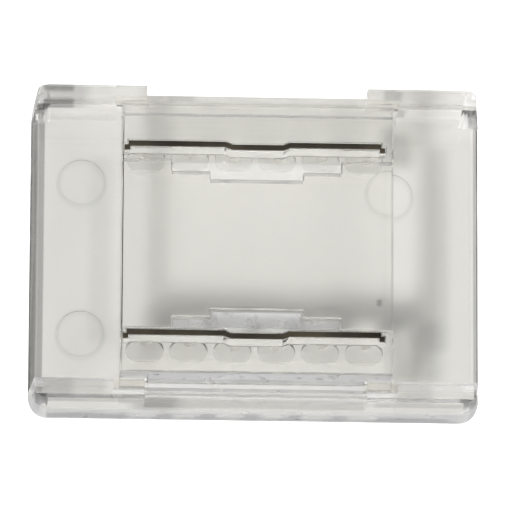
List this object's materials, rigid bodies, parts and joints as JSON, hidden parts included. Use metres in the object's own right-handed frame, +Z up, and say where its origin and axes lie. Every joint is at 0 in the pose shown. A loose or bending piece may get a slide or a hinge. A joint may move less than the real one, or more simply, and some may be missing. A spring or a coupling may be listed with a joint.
{
  "type": "led strip connector",
  "caption": "Clear push-fit connector for a flat led strip: open tray with corner posts, raised press cover and toothed metal contacts.",
  "frame": {"origin": "centre of the tray's underside", "axes": "+X along the strip, to the right in the picture; +Z up, out of the tray towards the press cover; +Y across the strip"},
  "size_m": [0.0164, 0.0118, 0.0037],
  "materials": {
    "tray_plastic": "clear, gloss",
    "cover_plastic": "clear, gloss",
    "contact_metal": "plated, satin"
  },
  "bodies": {
    "tray": {"base_tray": "tray_plastic"},
    "cover": {"press_cover": "cover_plastic", "front_contact": "contact_metal", "rear_contact": "contact_metal"}
  },
  "joints": [
    {"name": "cover_press", "type": "slide", "parent": "tray", "child": "cover", "axis": [0, 0, 1], "range_m": [-0.0008, 0]}
  ]
}
